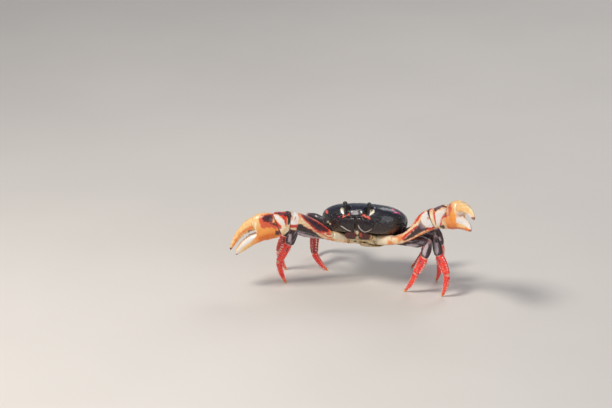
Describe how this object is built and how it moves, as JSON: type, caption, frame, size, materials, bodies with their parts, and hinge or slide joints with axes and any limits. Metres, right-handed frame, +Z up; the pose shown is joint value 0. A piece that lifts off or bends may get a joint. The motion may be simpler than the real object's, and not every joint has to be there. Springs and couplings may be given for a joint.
{
  "type": "purple land crab",
  "caption": "Still life-size model of a land crab standing high on its legs with both claws spread wide: glossy dark shell, orange claws and spiny red legs.",
  "frame": {"origin": "on the floor under the middle of the whole crab's bounding box", "axes": "+Z up, the crab faces -Y, its left side is towards +X"},
  "size_m": [0.2176, 0.1134, 0.097],
  "materials": {
    "dark_shell": "glossy, near black with a purple cast",
    "pale_belly": "satin, cream to olive",
    "mouth_plates": "satin, dark purple-brown",
    "eye": "polished black",
    "arm_shell": "glossy, maroon patches ringed with red, orange and cream",
    "claw_shell": "glossy, orange with cream and white fingers",
    "leg_mauve": "satin, dark grey-mauve",
    "leg_red": "satin, vivid red with pale spines"
  },
  "bodies": {
    "root": {"carapace": "dark_shell", "thorax": "pale_belly", "abdomen": "pale_belly", "maxilliped_left": "mouth_plates", "maxilliped_right": "mouth_plates", "antenna_left": "mouth_plates", "antenna_right": "mouth_plates", "eyestalk_left": "dark_shell", "eyestalk_right": "dark_shell", "eye_left": "eye", "eye_right": "eye", "claw_left_ischium": "arm_shell", "claw_left_merus": "arm_shell", "claw_left_carpus": "arm_shell", "claw_left_palm": "claw_shell", "claw_left_finger": "claw_shell", "claw_right_ischium": "arm_shell", "claw_right_merus": "arm_shell", "claw_right_carpus": "arm_shell", "claw_right_palm": "claw_shell", "claw_right_finger": "claw_shell", "leg_left_2_merus": "leg_mauve", "leg_left_2_carpus": "leg_mauve", "leg_left_2_propodus": "leg_red", "leg_left_2_dactylus": "leg_red", "leg_left_3_merus": "leg_mauve", "leg_left_3_carpus": "leg_mauve", "leg_left_3_propodus": "leg_red", "leg_left_3_dactylus": "leg_red", "leg_left_4_merus": "leg_mauve", "leg_left_4_carpus": "leg_mauve", "leg_left_4_propodus": "leg_red", "leg_left_4_dactylus": "leg_red", "leg_left_5_merus": "leg_mauve", "leg_left_5_carpus": "leg_mauve", "leg_left_5_propodus": "leg_red", "leg_left_5_dactylus": "leg_red", "leg_right_2_merus": "leg_mauve", "leg_right_2_carpus": "leg_mauve", "leg_right_2_propodus": "leg_red", "leg_right_2_dactylus": "leg_red", "leg_right_3_merus": "leg_mauve", "leg_right_3_carpus": "leg_mauve", "leg_right_3_propodus": "leg_red", "leg_right_3_dactylus": "leg_red", "leg_right_4_merus": "leg_mauve", "leg_right_4_carpus": "leg_mauve", "leg_right_4_propodus": "leg_red", "leg_right_4_dactylus": "leg_red", "leg_right_5_merus": "leg_mauve", "leg_right_5_carpus": "leg_mauve", "leg_right_5_propodus": "leg_red", "leg_right_5_dactylus": "leg_red"}
  },
  "joints": []
}
